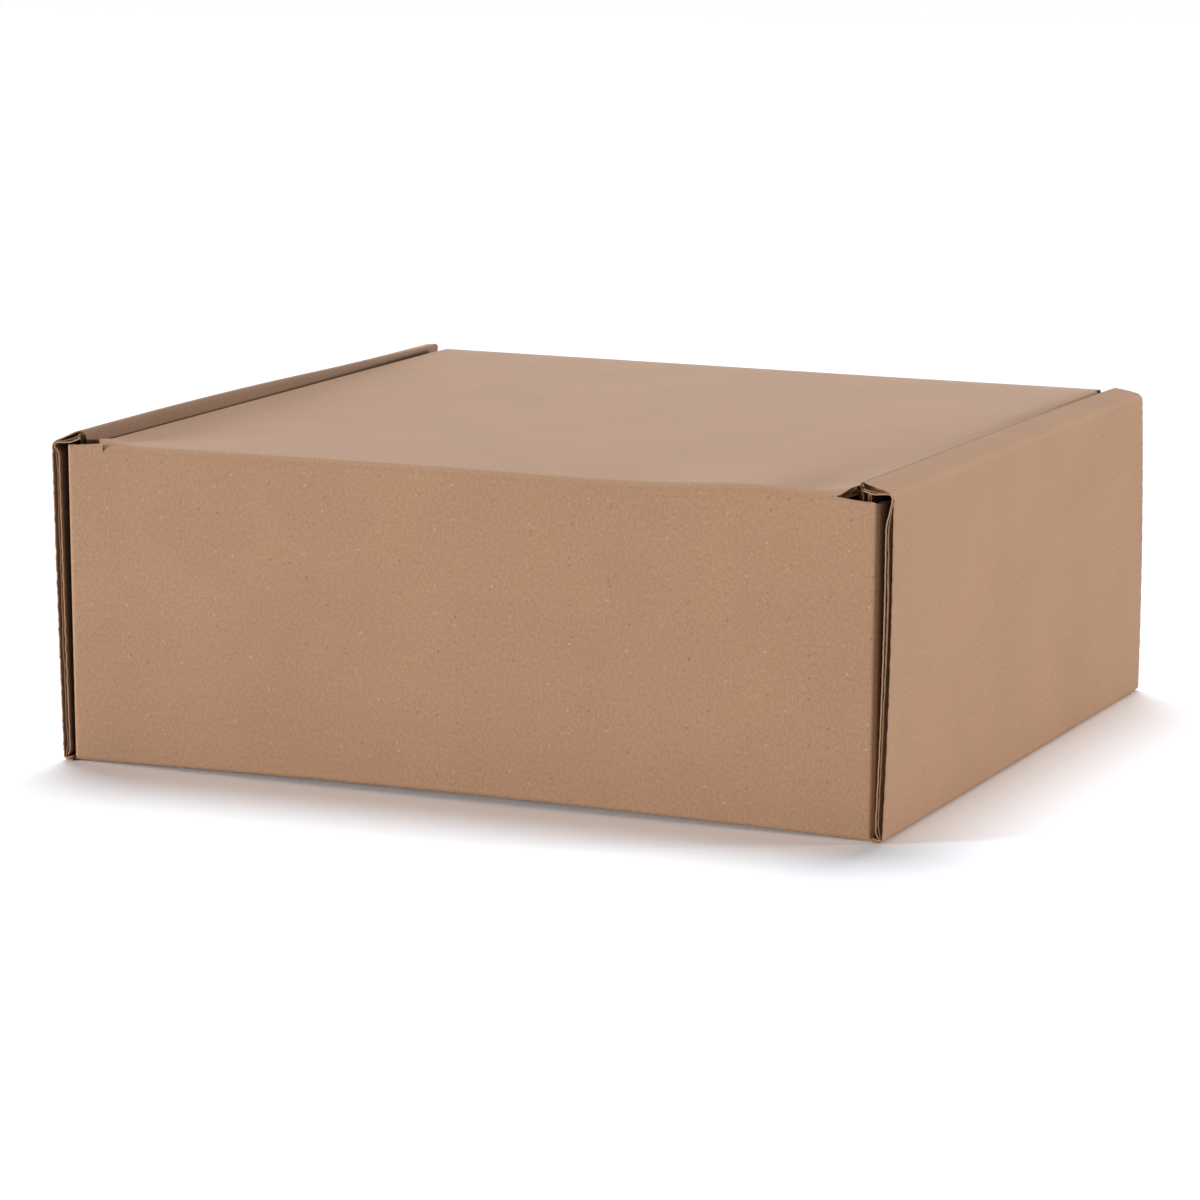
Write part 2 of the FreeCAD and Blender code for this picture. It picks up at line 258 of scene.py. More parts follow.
# %% [markdown]
# From sheets to a mesh
#
# foreach_set puts whole arrays into a mesh at once. Besides its points, each piece carries the place on the
# blank as a UV map in metres, so that the paper's grain follows the fold, and three marks for the colour:
# crease where a fold has rubbed the paper, calm where the paper looks smoother, and a third that paints
# shade where the paper lies out of sight between two walls, in the groove beside the lid and along the lid's
# bent margin.

# %% Mesh from sheets
# The third mark is painted shade.
MARKS = ("crease", "calm", "painted_shade")
SHARP_EDGE = math.radians(38)


def make_piece(name, sheets, materials):
    """A mesh object from closed sheets, each (points in mm, quads, UV in mm, marks, material number)."""
    offsets = np.cumsum([0] + [len(sheet[0]) for sheet in sheets])
    points = np.concatenate([sheet[0] for sheet in sheets]) * MM
    quads = np.concatenate([sheet[1] + offset for sheet, offset in zip(sheets, offsets)])
    uv = np.concatenate([sheet[2] for sheet in sheets]) * MM
    marks = np.concatenate([sheet[3] for sheet in sheets])
    number = np.concatenate([np.full(len(sheet[1]), sheet[4]) for sheet in sheets])
    mesh = bpy.data.meshes.new(name)
    mesh.vertices.add(len(points))
    mesh.vertices.foreach_set("co", points.astype(np.float32).ravel())
    mesh.loops.add(quads.size)
    mesh.loops.foreach_set("vertex_index", quads.astype(np.int32).ravel())
    mesh.polygons.add(len(quads))
    mesh.polygons.foreach_set("loop_start", np.arange(0, quads.size, 4, dtype=np.int32))
    for material in materials:
        mesh.materials.append(material)
    mesh.polygons.foreach_set("material_index", number.astype(np.int32))
    mesh.update(calc_edges=True)
    mesh.uv_layers.new(name="sheet").data.foreach_set("uv", uv[quads.ravel()].astype(np.float32).ravel())
    for column, mark in enumerate(MARKS):
        values = np.ascontiguousarray(marks[:, column], np.float32)
        mesh.attributes.new(mark, "FLOAT", "POINT").data.foreach_set("value", values)
    mesh.shade_smooth()
    mesh.set_sharp_from_angle(angle=SHARP_EDGE)
    piece = bpy.data.objects.new(name, mesh)
    bpy.context.collection.objects.link(piece)
    print(name, len(points), "points", len(quads), "quads")
    return piece


# %% [markdown]
# Corrugated board
#
# The board is two liners with a fluted paper between them. One solid plate with a picture of flutes on its
# edge would be simpler, but here the edges are seen close up. So each paper is a closed thin sheet of its
# own, and every cut edge shows the real thing: open channels where the cut follows the flutes, and the wave
# where it crosses them.

# %% Board
OUTER, INNER, FLUTED = 0, 1, 2      # the three papers of the board
INNER_SHIFT = np.array([0.0, 900.0])    # the inner liner takes its pattern from another part of the paper


def board_sheets(surface, liner_lines, medium_lines, keep, wave):
    """The three papers of one board.

    The surface gives place, normal, thickness, UV and marks. A liner lies between the face, or the other
    face's depth less a liner, and one liner further. The medium's depth is half the thickness, plus the
    wave times the room that the liners leave.
    """
    sheets = []
    for paper in (OUTER, INNER, FLUTED):
        grid = np.meshgrid(*(medium_lines if paper == FLUTED else liner_lines), indexing="ij")
        place, normal, thickness, uv, marks = surface(*grid, paper)
        if paper == FLUTED:
            depth = thickness / 2 + (thickness / 2 - LINER - MEDIUM / 2) * wave(*grid) - MEDIUM / 2
            paper_depth = MEDIUM
        else:
            depth = (thickness - LINER) * paper
            uv = uv + INNER_SHIFT * paper
            paper_depth = LINER
        front = place + normal * depth[..., None]
        back = place + normal * (depth + paper_depth)[..., None]
        kept = keep(*[(line[:-1, :-1] + line[1:, 1:]) / 2 for line in grid])
        points, quads, used = close_sheet(front, back, kept)
        uv = uv.reshape(-1, 2)[used]
        marks = marks.reshape(-1, 3)[used]
        sheets.append((points, quads, uv, marks, int(paper == FLUTED)))
    return sheets


# %% [markdown]
# A quarter turn at the end of a width
#
# Both the corner tabs and the dust flaps are the ends of a flat width, bent a quarter turn. The shape is the
# same for the two, so it is worked out once, from the distance beyond the flat width.

# %% Quarter turn
TURN_REACH = 4.0        # the bend crushes the board this far on each side
TURN_WEAR = 2.5         # and rubs its paper this far


def quarter_turn(across, flat_half, radius, crushed):
    """A width that is flat, then turns a quarter on an arc, then runs straight.

    The angle is the distance beyond the flat width divided by the radius, up to a quarter turn. The reach
    is the flat half plus the radius times the angle's sine, and the depth is the radius times one less its
    cosine, plus the rest of the distance. The thickness is least at the arc's middle and grows with the
    square of the distance from it.
    """
    arc = radius * math.pi / 2
    beyond = np.maximum(np.abs(across) - flat_half, 0)
    angle = np.clip(beyond / radius, 0, math.pi / 2)
    straight = np.maximum(beyond - arc, 0)
    share = np.clip(np.abs(beyond - arc / 2) / TURN_REACH, 0, 1)
    return SimpleNamespace(
        beyond=beyond, angle=angle, straight=straight,
        reach=flat_half + radius * np.sin(angle),
        depth=radius * (1 - np.cos(angle)) + straight,
        thickness=crushed + (BOARD - crushed) * share ** 2,
        wear=bell(beyond, arc / 2, TURN_WEAR))


# %% [markdown]
# How the folded box has settled
#
# The real box isn't straight. Its base bows up a little between the side walls, the lid's crease waves, and
# the far right corner leans in. A lattice could do this, but one function of the place moves every piece
# alike, so that seams stay closed.

# %% Settling
BASE_BOW = 1.8          # the base's middle lies higher by this
FAR_LEAN = 3.7          # the far right corner leans in by this at its top
WAVE_DIP = -0.8         # the crease's low stretch, at x = 52
WAVE_HUMP = 0.9         # and its high one, at x = 104, which ends with the crease


def settle(points):
    """Moves points in mm as the box has settled.

    The base's bow falls with the square of x and fades upwards. The crease's wave is two bells along the
    front wall's top. The lean grows to the right, to the back and upwards.
    """
    x, y, z = points[..., 0], points[..., 1], points[..., 2]
    height = np.clip(z / LID_TOP, 0, 1)
    bow = BASE_BOW * np.clip(1 - (x / FACE_HALF) ** 2, 0, 1) * np.clip(1 - z / LID_TOP, 0, 1)
    wave = WAVE_DIP * bell(x, 52, 42) + WAVE_HUMP * bell(x, 104, 26) * smooth_share(CREASE_HALF - x, 0, 25)
    near_crease = bell(y, -WALL_OUT, 40) * smooth_share(z, 40, LID_TOP)
    lean = np.clip(x / LID_HALF, 0, 1) * smooth_share(y, -200, 143) * height
    moved = points.copy()
    moved[..., 2] += bow + wave * near_crease
    moved[..., 0] -= FAR_LEAN * lean
    return moved


print("the base's middle settles to", settle(np.zeros(3)))

# %% [markdown]
# The long strip: tuck flap, lid, front wall, base and far wall
#
# One section serves the whole strip, so the paper's grain runs on over every fold. The lid and the tray are
# cut from it at the crease, and the short length between them, which bends on the real box when the lid
# opens, is a piece of its own.

# %% The long strip's section
TUCK_TIP = (133.5, 52.0)
LID_FAR = 136.2
CREASE_RADIUS = 3.0
TUCK_FOLD = (2.4, 4, 4, 1.2)
LID_CREASE = (CREASE_RADIUS, 4, 4, 1.5)
FOOT_FOLD = (1.8, 3.5, 3.5, 1.2)
strip = Section(
    [TUCK_TIP, (LID_FAR, LID_TOP), (-WALL_OUT, LID_TOP), (-WALL_OUT, 0), (WALL_OUT, 0), (WALL_OUT, RIM_Z)],
    [TUCK_FOLD, LID_CREASE, FOOT_FOLD, FOOT_FOLD])
FOLD_REACH = 4.5        # the crease piece reaches this far from the corner, both ways
half_fold = CREASE_RADIUS * math.pi / 4 + (FOLD_REACH - CREASE_RADIUS)
end_of_lid = strip.middles[1] - half_fold
start_of_tray = strip.middles[1] + half_fold
rim_run = start_of_tray - (RIM_Z - (LID_TOP - FOLD_REACH))
near_foot, far_foot = strip.knots[5], strip.knots[8]
print("strip", round(strip.length, 1), "lid ends at", round(end_of_lid, 2))
print("tray starts at", round(start_of_tray, 2))


def run_of_height(height, far=False):
    """Distance along the strip at a height on the front wall, or on the far wall."""
    if far:
        return strip.length - (RIM_Z - height)
    return start_of_tray + (LID_TOP - FOLD_REACH - height)


def run_of_lid(y):
    """Distance along the strip at a place along the lid."""
    return end_of_lid - (y + WALL_OUT - FOLD_REACH)


# %% [markdown]
# How the lid lies
#
# The lid is twisted, with its far left corner highest, and its two near corners curl up where they are cut.
# Its right margin is lifted a little by the roll beside it. The lid's paper also looks smoother than the
# walls', so it shows its mottle less.

# %% Lid's rise and its calmer paper
FAR_RISE = 5.9          # the lid's far fold stands higher by this at its middle
FAR_TWIST = 1.55        # and this much more at its left end, or less at its right end
CORNER_CURL = 1.5       # the near corners, about 139.5 mm out and 137 mm to the front, curl up by this
EDGE_LIFT = 1.6         # the right margin's near half is lifted by this


def lid_rise(x, y):
    """Height that the lid gains: a share of the twist towards the back, two bells at the near corners, and a
    bell along the right margin that fades towards the back."""
    share = np.clip((y + WALL_OUT) / (LID_FAR + WALL_OUT), 0, 1)
    twist = FAR_RISE - FAR_TWIST * np.clip(x / LID_HALF, -1, 1)
    corner = bell(np.abs(x), 139.5, 4) * bell(y, -137.0, 4.5) * smooth_share(y, -WALL_OUT, -WALL_OUT + 3.5)
    margin = bell(x, LID_HALF, 7) * (1 - share) ** 2 * smooth_share(y, -WALL_OUT + 3, -WALL_OUT + 12)
    return share * twist + CORNER_CURL * corner + EDGE_LIFT * margin


def lid_share(run):
    """Share of the lid's finish at a distance along: one on the lid, none on the front wall."""
    return 1 - smooth_share(run, end_of_lid - 14, start_of_tray + 4)


print("far fold rises", lid_rise(np.array([-LID_HALF, LID_HALF]), LID_FAR).round(2), "mm, left and right")

# %% [markdown]
# Base, front wall and far wall, with their corner tabs
#
# The ends of both long walls turn round into tabs that stand between the double side walls. The front wall's
# top edge is cut bare for a short way beyond each end of the crease: these are the ears, and each has curled
# in its own way. The tabs are one surface with the walls, so the bend between them is smooth.

# %% Shape of the base and the long walls
END_RADIUS = 1.9
END_CRUSHED = 1.3
FLAT_HALF = FACE_HALF - END_RADIUS
END_ARC = END_RADIUS * math.pi / 2
TAB_LENGTH = 70.0
TAB_RUN = TAB_LENGTH - (END_RADIUS - BOARD)
FOLDED_Z = 0.9          # above this the strip's ends turn round, and below it they are cut flush
ENDS_PUSHED = 0.7       # the front wall's ends are pushed outwards by this at the top
EAR_LIFT = {-1: (2.2, 1.1), 1: (0.9, 1.7)}      # left and right ear: its rise, and its fall to the side
EDGE_WAVE = (0.28, 9)   # the cut top edges wander by this, over this length
TRAY_SEED = 11


def tray_surface(across, run, paper):
    """The strip's section, turned inwards at its ends: past the flat width an arc, past the arc the tab."""
    y, z, normal_y, normal_z = strip.at(run)
    turn = quarter_turn(across, FLAT_HALF, END_RADIUS, END_CRUSHED)
    side, end = np.sign(across), np.sign(y)
    on_wall = (z > FOLDED_Z) & (turn.beyond > 0)
    x = np.where(on_wall, side * turn.reach, across)
    pushed = smooth_share(np.abs(x), 135, FLAT_HALF) * np.clip(z / LID_TOP, 0, 1) * (end < 0)
    x = x + side * ENDS_PUSHED * pushed
    place = np.stack([x, np.where(on_wall, end * (WALL_OUT - turn.depth), y), z], -1)
    bent = np.stack([-side * np.sin(turn.angle), -end * np.cos(turn.angle), 0 * z], -1)
    flat = np.stack([0 * z, normal_y, normal_z], -1)
    normal = np.where(on_wall[..., None], bent, flat)
    near_end = on_wall | (np.abs(across) > 140)
    thickness = np.minimum(strip.thickness(run), np.where(near_end, turn.thickness, BOARD))
    ear = np.clip((np.abs(across) - CREASE_HALF) / (FACE_HALF - CREASE_HALF), 0, 1)
    ear_lift = np.where(across < 0, *[EAR_LIFT[hand][0] - EAR_LIFT[hand][1] * ear for hand in (-1, 1)])
    ear_share = smooth_share(z, LID_TOP - FOLD_REACH, RIM_Z) * (y < 0) * (np.abs(across) >= CREASE_HALF)
    cut_edge = (run <= rim_run + 0.01) | (run >= strip.length - 0.01)
    size, period = EDGE_WAVE
    place[..., 2] += ear_lift * ear_share
    place[..., 2] += cut_edge * (size * wander(across, period, TRAY_SEED + paper) - 0.25)
    worn = np.maximum(strip.wear(run), turn.wear * on_wall)
    # Painted shade on the tabs, which stand out of sight between the side walls.
    painted_shade = smooth_share(turn.beyond, 0.7 * END_ARC, END_ARC + 1.5) * on_wall
    marks = np.stack([worn, lid_share(run), painted_shade], -1)
    return settle(place), normal, thickness, np.stack([across, run], -1), marks


# %% Outline of the base and the long walls
SLOT = (142.4, 146.0)   # the lock slots lie between these two places
SLOT_MIDDLE = 75.0
SLOT_HALF = 20.3
WALL_FOOT = 1.2         # the walls' ends start at this height
TAB_FOOT = 4.0          # and the tabs at this one


def tray_keep(across, run):
    """The blank's outline: the crease's cut, the tabs' lower edges and the lock slots."""
    y, z = strip.at(run)[:2]
    reach = np.abs(across)
    below_crease = (run > start_of_tray) | (reach > CREASE_HALF)
    base = (z < 1.0) | (run > near_foot) & (run < far_foot)
    wall_end = ~base & (z > WALL_FOOT) & (reach < FLAT_HALF + END_ARC)
    tab = ~base & (z > TAB_FOOT)
    base_end = base & (reach < FACE_HALF)
    slot = base & (reach > SLOT[0]) & (reach < SLOT[1]) & (np.abs(np.abs(y) - SLOT_MIDDLE) < SLOT_HALF)
    return below_crease & ((reach < FLAT_HALF) | wall_end | tab | base_end) & ~slot


tab_start = FLAT_HALF + END_ARC
tray_across = mirrored(np.unique(np.concatenate([
    spread([0, CREASE_HALF, *SLOT, FLAT_HALF, tab_start], 9.0), np.linspace(FLAT_HALF, tab_start, 9),
    [FACE_HALF], spread([tab_start, tab_start + TAB_RUN], 7.0)])))
middle_of_base = strip.middles[2] + WALL_OUT
slot_runs = [middle_of_base + end * SLOT_MIDDLE + side * SLOT_HALF for end in (-1, 1) for side in (-1, 1)]
foot_runs = [run_of_height(height, far) for height in (TAB_FOOT, WALL_FOOT) for far in (False, True)]
tray_stops = np.sort([rim_run, start_of_tray, *foot_runs, *strip.knots[5:9], *slot_runs, strip.length])
tray_runs = merged(
    spread(tray_stops, 7.0), np.linspace(rim_run, start_of_tray, 6),
    np.linspace(strip.knots[5], strip.knots[6], 7), np.linspace(strip.knots[7], strip.knots[8], 7))
tray_flutes = spread([rim_run, start_of_tray, strip.length], FLUTE / 7)
print("tray grid", len(tray_across), "by", len(tray_runs), "and", len(tray_flutes), "along the flutes")

# %% [markdown]
# Side walls
#
# Each side wall starts under the base, goes up, rolls over and comes down inside, where its tabs lock into
# the base. The creases crush the board flat, so the roll's open end shows a lens: thick in its middle, thin
# at both creases. The two rolls have sprung up by different amounts, so one function draws both from a
# table of what differs.

# %% Section of a side wall
FOOT_X = 152.7          # the outer wall's foot
CREASE_X, CREASE_Z = 155.1, 112.4       # its top crease, where the roll begins
CREST_X, CREST_Z = 142.7, 116.3         # the crease where the roll turns down inside
INNER_HALF = 138.7      # half of the inner wall's width
LOCK_HALF = 20.0        # half of a lock tab's width


def rolled_wall(before, after):
    """The side wall's section: foot, outer wall, roll and inner wall, with the outer crease's two reaches."""
    return Section(
        [(FACE_HALF, 0), (FOOT_X, 0), (CREASE_X, CREASE_Z), (CREST_X, CREST_Z), (CREST_X, 0.3)],
        [(1.8, 9, 3.5, 1.1), (3.2, before, after, 0.9), (1.9, 1.9, 4, 1.1)])


# The last two entries of each table set the groove's painted shade.
right_wall = SimpleNamespace(
    hand=1, seed=21, roll=rolled_wall(12, 7.5), near_rise=0.7, far_rise=1.9, belly=0.7, sink=0.9,
    arch=0.0, hump=0.0, flare=0.0, drawn_back=2.0, shade=1.0, shade_start=1.9)
left_wall = SimpleNamespace(
    hand=-1, seed=31, roll=rolled_wall(4, 8.0), near_rise=0.0, far_rise=7.0, belly=0.2, sink=3.4,
    arch=1.0, hump=0.6, flare=4.5, drawn_back=0.0, shade=0.75, shade_start=0.8)
roll_foot, roll_crease, roll_crest = right_wall.roll.middles
roll_length = right_wall.roll.length
inner_end = roll_length - BOARD
print("side strip", round(roll_length, 1), "crease", round(roll_crease, 1), "crest", round(roll_crest, 1))

# %% [markdown]
# What the table of a side wall says
#
# near_rise and far_rise are how far the roll stands up at its two ends. belly is how far the outer wall
# bulges, sink how far the crest falls back at the far end, arch how far the roll is domed, hump how far its
# middle stands up, and flare how far its far end opens outwards. drawn_back starts the inner wall's step
# earlier at the far end. The last two give painted shade: how dark the groove beside the lid is painted, and
# how far before the crest that shade begins. All but the darkness are millimetres.

# %% Shape of a side wall
SWELL_START = 60        # the rolls' differences start at this height
CUT_TEETH = ((0.22, 5.0, 20), (0.12, 1.9, 30))      # size, length and seed of the cut edge's two wanders


def wall_surface(wall):
    """A function for one side wall, from its table. Across runs from -1 at the front to 1 at the back."""

    def surface(across, run, paper):
        """The section, carried along y and moved: its lift grows with height and towards the back, its crest
        sinks with the square of that share, and its inner wall is shorter at both ends."""
        x, z, normal_x, normal_z = wall.roll.at(run)
        share = (across + 1) / 2
        over = smooth_share(run, roll_crease, roll_crest)
        step = roll_crest - wall.drawn_back * (across > 0)
        half = SIDE_HALF + (INNER_HALF - SIDE_HALF) * smooth_share(run, step - 3, step + 6)
        edge = np.abs(across) > 0.9999
        tooth = sum(size * wander(run, length, wall.seed + paper + seed) for size, length, seed in CUT_TEETH)
        y = across * half + np.sign(across) * edge * (tooth - 0.2)
        domed = over * np.clip(z / CREST_Z, 0, 1)
        sunk = share ** 2 * over * smooth_share(z, SWELL_START, CREASE_Z)
        rise = wall.near_rise + share * (wall.far_rise - wall.near_rise)
        x = x + wall.belly * np.sin(np.pi * np.clip((run - roll_foot) / (roll_crease - roll_foot), 0, 1))
        z = z + rise * np.clip(z / CREASE_Z, 0, 1) + wall.arch * domed - wall.sink * sunk
        humped = np.sin(np.pi * np.clip(share * 1.5, 0, 1)) * smooth_share(z, SWELL_START, CREASE_Z)
        z = z + wall.hump * humped
        x = x + wall.flare * share ** 2 * over * smooth_share(z, RIM_Z, 118)
        place = settle(np.stack([wall.hand * x, y, z], -1))
        normal = np.stack([wall.hand * normal_x, 0 * x, normal_z], -1)
        uv = np.stack([across * SIDE_HALF + 400 * wall.hand, run], -1)
        calm = 0.3 + 0.4 * smooth_share(run, roll_crease - 8, roll_crease + 4)
        # The third mark is painted shade, from the function below.
        marks = np.stack([0.3 * wall.roll.wear(run), calm, painted_shade_share(across, run, paper)], -1)
        return place, normal, wall.roll.thickness(run), uv, marks

    def painted_shade_share(across, run, paper):
        """Share of painted shade: on the outer liner the groove beside the lid, on the inner liner, which
        faces the room between the walls, all but its cut edges, and on the fluted paper half."""
        start = roll_crest - wall.shade_start
        groove = smooth_share(run, start, start + 0.8)
        groove = groove * (1 - smooth_share(run, roll_crest + 7, roll_crest + 14))
        inside = 1 - smooth_share(np.abs(across), 0.985, 0.9999)
        return (wall.shade * groove, inside, 0.5 + 0 * run)[paper]

    return surface


def wall_keep(across, run):
    """All of the strip down to the inner wall's lower edge, and below that only the lock tabs."""
    lock = np.abs(np.abs(across * INNER_HALF) - SLOT_MIDDLE) < LOCK_HALF
    return (run < inner_end) | lock


# %% Grid of a side wall
lock_edges = [(SLOT_MIDDLE + end * LOCK_HALF) / INNER_HALF for end in (-1, 1)]
wall_across = mirrored(np.unique(np.concatenate([spread([0, *lock_edges, 0.97], 0.06), [0.985, 0.995, 1.0]])))
wall_knots = right_wall.roll.knots
wall_bends = [np.linspace(low, high, 9) for low, high in zip(wall_knots[1:-1:2], wall_knots[2:-1:2])]
wall_runs = merged(spread([*wall_knots[:-1], inner_end, roll_length], 1.0), *wall_bends)
wall_flutes = spread([-1, 1], FLUTE / 7.5 / SIDE_HALF)
wall_flute_runs = np.unique(np.concatenate([wall_runs[::4], [inner_end, roll_length], wall_knots]))
print("side wall grid", len(wall_across), "by", len(wall_runs), "and", len(wall_flutes), "across the flutes")

# %% [markdown]
# The lid with its dust flaps and tuck flap
#
# The lid's sides turn down into dust flaps and its far edge into the tuck flap. Its near corners are cut back
# towards the dust flaps, which leaves the small dark openings beside the ends of the crease. All of it is the
# strip's section again, with its width changed along the way.

# %% Shape of the lid
DUST_RADIUS = 2.4
DUST_CRUSHED = 1.6
DUST_FLAT = LID_HALF - DUST_RADIUS
DUST_ARC = DUST_RADIUS * math.pi / 2
FLAP_DEPTH = 40.0
FLAP_FRONT, FLAP_BACK = -134.1, 96.2
FLAP_TAPER = 8.0        # a dust flap's free edge is shorter by this at each end
CORNER_CUT = 8.0        # the near corners are cut back over this length
CORNER_REACH = 2.2      # the far right corner reaches further back by this
TUCK_HALF = LID_HALF - 2.0
TUCK_NECK = 6           # the lid narrows to the tuck flap over this length
TIP_ROUNDING = 15       # the tuck flap's free corners are rounded over this length


def lid_surface(across, run, paper):
    """The strip's section, turned down at its sides. A flap's ends are drawn in towards its free edge."""
    y, z, normal_y, normal_z = strip.at(run)
    turn = quarter_turn(across, DUST_FLAT, DUST_RADIUS, DUST_CRUSHED)
    side = np.sign(across)
    tucked = smooth_share(run, strip.knots[1] + 0.5, strip.knots[2] + TUCK_NECK)
    cut_back = CREASE_HALF + (y + WALL_OUT) * (LID_HALF - CREASE_HALF) / CORNER_CUT
    width = np.where(y < FLAP_FRONT, cut_back, LID_HALF)
    width = np.minimum(width, TUCK_HALF + (LID_HALF - TUCK_HALF) * tucked)
    x = np.where(turn.beyond == 0, across * np.minimum(width / DUST_FLAT, 1), side * turn.reach)
    middle = (FLAP_FRONT + FLAP_BACK) / 2
    taper = 1 - FLAP_TAPER / (FLAP_BACK - middle) * turn.straight / FLAP_DEPTH
    y = np.where(turn.straight > 0, middle + (y - middle) * taper, y)
    tip_corner = np.clip((TIP_ROUNDING - run) / TIP_ROUNDING, 0, 1) ** 2
    x = x * (1 - 0.1 * tip_corner * (np.abs(across) > DUST_FLAT - 1))
    reached = y + CORNER_REACH * smooth_share(x, 40, LID_HALF) * smooth_share(y, 0, LID_FAR)
    place = np.stack([x, reached, z - turn.depth + lid_rise(x, y)], -1)
    bent = np.stack([-side * np.sin(turn.angle), 0 * z, -np.cos(turn.angle)], -1)
    flat = np.stack([0 * z, normal_y, normal_z], -1)
    on_turn = turn.beyond > 0
    normal = np.where(on_turn[..., None], bent, flat)
    thickness = np.minimum(strip.thickness(run), np.where(on_turn, turn.thickness, BOARD))
    worn = np.maximum(strip.wear(run), turn.wear * on_turn)
    # Painted shade: a dark line on the dust flap's bend, along the roll beside the lid.
    painted_seam_shade = smooth_share(turn.beyond, 0.15 * DUST_ARC, 0.6 * DUST_ARC)
    painted_seam_shade = painted_seam_shade * (1 - smooth_share(turn.beyond, DUST_ARC, DUST_ARC + 6))
    marks = np.stack([worn, lid_share(run), 0.6 * painted_seam_shade], -1)
    return settle(place), normal, thickness, np.stack([across, run], -1), marks


# %% Outline of the lid
flap_front_run, flap_back_run = run_of_lid(FLAP_FRONT), run_of_lid(FLAP_BACK)
neck_run = strip.knots[2] + TUCK_NECK
flap_end = DUST_FLAT + DUST_ARC + FLAP_DEPTH - DUST_RADIUS


def lid_keep(across, run):
    """The lid and tuck flap up to the flat width, and the dust flaps between their two ends."""
    reach = np.abs(across)
    flap = (run < flap_front_run) & (run > flap_back_run)
    rounded_edge = (run < flap_front_run) & (run > neck_run) & (reach < DUST_FLAT + DUST_ARC)
    return (reach < DUST_FLAT) | flap | rounded_edge


lid_across = mirrored(np.unique(np.concatenate([
    spread([0, DUST_FLAT], 9.0), np.linspace(DUST_FLAT, DUST_FLAT + DUST_ARC, 7),
    spread([DUST_FLAT + DUST_ARC, flap_end], 6.0)])))
lid_stops = [neck_run, flap_back_run, flap_front_run, end_of_lid]
lid_runs = merged(
    spread([0, TIP_ROUNDING, strip.knots[1], strip.knots[2], *lid_stops], 7.0),
    np.linspace(strip.knots[1], strip.knots[2], 7), np.linspace(0, TIP_ROUNDING, 9))
lid_flutes = spread([0, *lid_stops], FLUTE / 8)
print("lid grid", len(lid_across), "by", len(lid_runs), "and", len(lid_flutes), "along the flutes")

# %% [markdown]
# The crease between lid and front wall
#
# On the real box this is no hinge but the same board, bent. It could be left to the lid, but then it would
# tear away from the wall when the lid opens. So it is a short piece of its own.

# %% Shape of the crease
fold_across = mirrored(spread([0, CREASE_HALF], 9.0))
fold_runs = np.linspace(end_of_lid, start_of_tray, 17)


def fold_surface(across, run, paper):
    """The short length of the section round the crease, widened towards the lid as the corners are cut."""
    y, z, normal_y, normal_z = strip.at(run)
    widening = (LID_HALF - CREASE_HALF) / CORNER_CUT / CREASE_HALF
    x = across * (1 + np.maximum(y + WALL_OUT, 0) * widening * (run < strip.middles[1]))
    rise = lid_rise(x, y) * smooth_share(y, -WALL_OUT, -WALL_OUT + FOLD_REACH)
    normal = np.stack([0 * z, normal_y, normal_z], -1)
    marks = np.stack([strip.wear(run), lid_share(run), 0 * x], -1)
    uv = np.stack([across, run], -1)
    return settle(np.stack([x, y, z + rise], -1)), normal, strip.thickness(run), uv, marks


def keep_all(across, run):
    """Every cell."""
    return np.ones(np.shape(across), bool)


# %% [markdown]
# Unbleached kraft papers
#
# Kraft liner is a matt brown paper pressed from long wood fibres. The eye sees a soft mottle of one to three
# millimetres, finer fibres, a few pale and dark specks, and a paler line where a crease has been worked. An
# image of paper would repeat, so noise draws it, read from the UV map so that it follows the folds. The
# fluted paper is rougher and a little greyer, because it is made from recycled pulp.

# %% Colours and node helper


def linear(code):
    """An sRGB hex colour as linear RGBA."""
    values = [int(code[start:start + 2], 16) / 255 for start in (0, 2, 4)]
    values = [value / 12.92 if value <= 0.04045 else ((value + 0.055) / 1.055) ** 2.4 for value in values]
    return values + [1.0]


def node(tree, kind, settings=None, inputs=None):
    """Adds a node, sets its properties and its inputs. An input that is a socket is linked."""
    made = tree.nodes.new(kind)
    for key, value in (settings or {}).items():
        setattr(made, key, value)
    for key, value in (inputs or {}).items():
        if isinstance(value, bpy.types.NodeSocket):
            tree.links.new(value, made.inputs[key])
        else:
            made.inputs[key].default_value = value
    return made


# %% [markdown]
# Mottle, fibres and painted shade
#
# The paper's colour runs between a darker and a paler tone, as far as the contrast lets it. Three gains then
# multiply it: wide clouds, fine fibres and the paler rubbed crease. A fourth is painted shade: it darkens
# what lies out of sight between the walls, the groove beside the lid and the lid's bent margin, for the
# little light that reaches there on the real box.

# %% Paper colour
MOTTLE = 0.9            # mm; the clumps of fibre are about one to two millimetres across
CLOUD = 40.0            # mm; the pulp's slow changes along a sheet
MOTTLE_STRETCH = (1.0, 0.75, 1.0)
CALM_CONTRAST = 0.25    # calm paper keeps this share of the mottle
CLOUD_GAIN = {"From Min": 0.3, "From Max": 0.7, "To Min": 0.97, "To Max": 1.03}
FIBRE_GAIN = {"From Min": 0.25, "From Max": 0.75, "To Min": 0.96, "To Max": 1.04}
RUBBED_GAIN = {"To Min": 1.0, "To Max": 1.05}
# painted shade: where the third mark is full, the colour is darkened to a third
PAINTED_SHADE_GAIN = {"To Min": 1.0, "To Max": 0.33}
FLAT_NOISE = {"noise_dimensions": "2D"}


